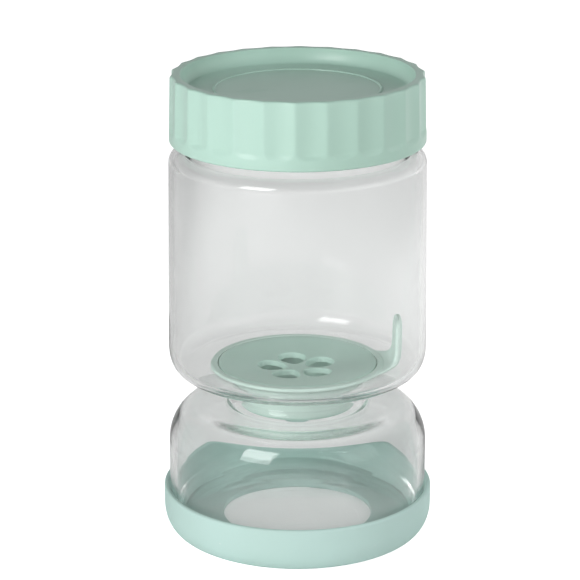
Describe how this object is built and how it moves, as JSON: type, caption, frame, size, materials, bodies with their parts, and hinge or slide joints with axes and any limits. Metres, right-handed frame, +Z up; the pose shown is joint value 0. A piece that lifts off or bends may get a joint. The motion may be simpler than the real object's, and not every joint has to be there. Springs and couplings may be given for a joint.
{
  "type": "pickle keeper with lift strainer",
  "caption": "Hourglass glass jar with a fluted screw lid, a lift-out strainer with petal holes and an upright tab over its neck, and a soft sleeve round its foot.",
  "frame": {"origin": "middle of the base sleeve's underside, where the keeper stands", "axes": "+Z up along the jar's axis, the strainer's lift tab towards +X, -Y towards the viewer"},
  "size_m": [0.1068, 0.1068, 0.185],
  "materials": {
    "clear_glass": "clear polished glass",
    "lid_plastic": "satin mint polypropylene",
    "strainer_plastic": "satin mint polypropylene, a shade darker",
    "seal_silicone": "soft pale mint silicone",
    "gasket_silicone": "translucent silicone",
    "sleeve_silicone": "matt pale mint silicone"
  },
  "bodies": {
    "base": {"base_sleeve": "sleeve_silicone"},
    "jar": {"glass_jar": "clear_glass"},
    "strainer": {"strainer_plate": "strainer_plastic", "strainer_seal": "seal_silicone"},
    "lid_seal": {"lid_gasket": "gasket_silicone"},
    "lid": {"lid_liner": "lid_plastic", "lid_cover": "lid_plastic"}
  },
  "joints": [
    {"name": "jar_lift", "type": "slide", "parent": "base", "child": "jar", "axis": [0, 0, 1], "range_m": [0, 0.03]},
    {"name": "strainer_lift", "type": "slide", "parent": "jar", "child": "strainer", "axis": [0, 0, 1], "range_m": [0, 0.084]},
    {"name": "lid_rise", "type": "slide", "parent": "jar", "child": "lid_seal", "axis": [0, 0, 1], "range_m": [0, 0.0271]},
    {"name": "lid_turn", "type": "hinge", "parent": "lid_seal", "child": "lid", "pos_m": [0, 0, 0.1754], "axis": [0, 0, 1], "range_deg": [0, 1080]}
  ],
  "couplings": [
    {"joint": "lid_rise", "follows": "lid_turn", "m_per_rad": 0.0014324}
  ]
}
